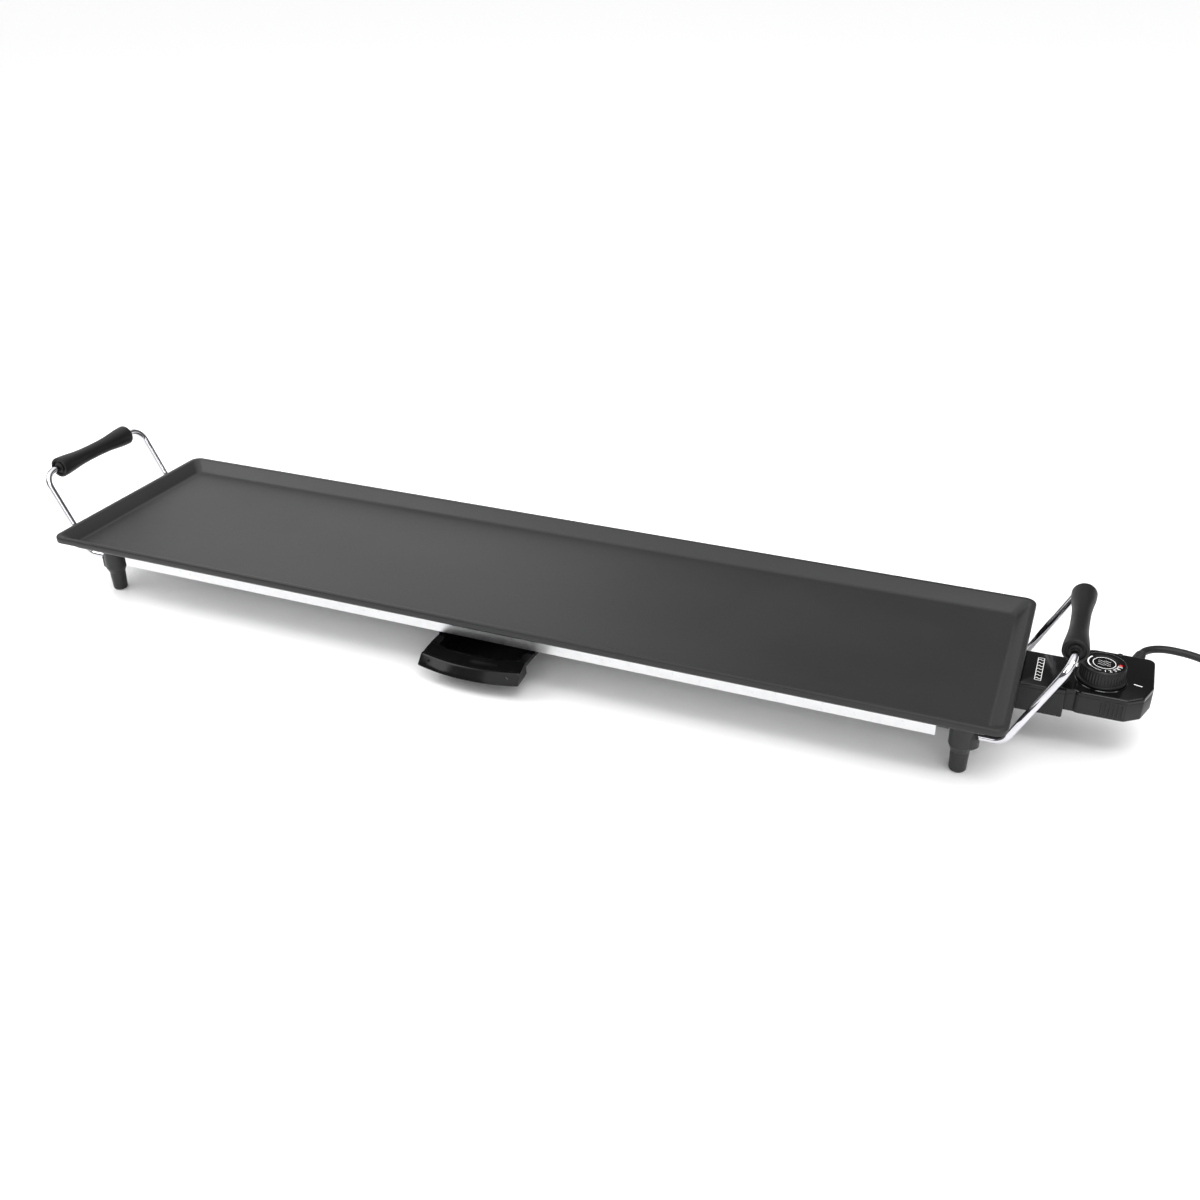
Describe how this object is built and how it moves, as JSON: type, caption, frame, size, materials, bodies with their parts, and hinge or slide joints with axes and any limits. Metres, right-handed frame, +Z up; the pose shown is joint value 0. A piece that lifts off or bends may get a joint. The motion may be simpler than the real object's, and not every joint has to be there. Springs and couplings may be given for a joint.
{
  "type": "electric griddle",
  "caption": "Long electric table griddle with a black non-stick plate, wire handles with black grips, a slide-out drip tray and an unpluggable thermostat controller on a mains cord.",
  "frame": {"origin": "On the table plane that the feet stand on, straight below the middle of the plate.", "axes": "+X runs along the plate towards the thermostat controller, +Y from the drip tray's side to the back, +Z up."},
  "size_m": [1.217, 0.231, 0.122],
  "materials": {
    "coated_aluminium": "satin black non-stick coating on cast aluminium",
    "element_steel": "dull heat-toned stainless tube",
    "galvanised_steel": "bright galvanised sheet",
    "screw_steel": "zinc-plated steel",
    "black_bakelite": "moulded phenolic with a slight sheen",
    "black_steel": "black enamelled sheet",
    "black_enamel": "gloss black enamel",
    "chrome_wire": "bright chrome-plated wire",
    "grip_plastic": "finely textured phenolic",
    "satin_black_plastic": "satin moulded plastic",
    "gloss_black_plastic": "polished moulded plastic",
    "contact_brass": "bare brass",
    "cream_ceramic": "unglazed ceramic",
    "knob_plastic": "satin moulded plastic with a ribbed edge",
    "dial_print": "glossy insert with white printing",
    "red_lens": "clear red lens",
    "cord_rubber": "smooth black cord jacket",
    "tie_plastic": "soft strap",
    "plug_plating": "nickel-plated brass"
  },
  "bodies": {
    "griddle": {"griddle_plate": "coated_aluminium", "heating_element": "element_steel", "terminal_pins": "element_steel", "element_clamps": "galvanised_steel", "clamp_screws": "screw_steel", "probe_sleeve": "galvanised_steel", "terminal_shroud": "black_bakelite", "reflector_pan": "galvanised_steel", "reflector_brackets": "black_steel", "left_rail": "black_steel", "right_rail": "black_steel", "rail_rivets": "screw_steel", "front_left_foot": "black_bakelite", "front_right_foot": "black_bakelite", "back_left_foot": "black_bakelite", "back_right_foot": "black_bakelite", "foot_screws": "screw_steel", "left_handle_wire": "chrome_wire", "right_handle_wire": "chrome_wire"},
    "left_grip_turns": {"left_grip": "grip_plastic"},
    "right_grip_turns": {"right_grip": "grip_plastic"},
    "tray": {"drip_tray": "black_enamel"},
    "thermostat": {"controller_base": "satin_black_plastic", "controller_cover": "gloss_black_plastic", "housing_screws": "screw_steel", "connector_nose": "satin_black_plastic", "socket_contacts": "contact_brass", "earth_spring": "screw_steel", "probe_rod": "element_steel", "thermostat_switch": "cream_ceramic", "terminal_block": "cream_ceramic", "strain_relief": "cord_rubber", "cord_lead": "cord_rubber", "cord_coil": "cord_rubber", "cord_tail": "cord_rubber", "cord_tie": "tie_plastic", "plug_body": "cord_rubber", "plug_pins": "plug_plating", "plug_earth_strips": "plug_plating"},
    "dial": {"knob": "knob_plastic", "knob_dial": "dial_print", "pilot_lens": "red_lens", "knob_spindle": "screw_steel"}
  },
  "joints": [
    {"name": "left_grip_spin", "type": "hinge", "parent": "griddle", "child": "left_grip_turns", "pos_m": [-0.4855, 0, 0.112], "axis": [0, 1, 0], "continuous": true},
    {"name": "right_grip_spin", "type": "hinge", "parent": "griddle", "child": "right_grip_turns", "pos_m": [0.4855, 0, 0.112], "axis": [0, 1, 0], "continuous": true},
    {"name": "tray_slide", "type": "slide", "parent": "griddle", "child": "tray", "axis": [0, -1, 0], "range_m": [0, 0.09]},
    {"name": "controller_unplug", "type": "slide", "parent": "griddle", "child": "thermostat", "axis": [1, 0, 0], "range_m": [0, 0.075]},
    {"name": "dial_turn", "type": "hinge", "parent": "thermostat", "child": "dial", "pos_m": [0.509, 0.003, 0.0639], "axis": [0, 0, 1], "range_deg": [0, 270]}
  ]
}
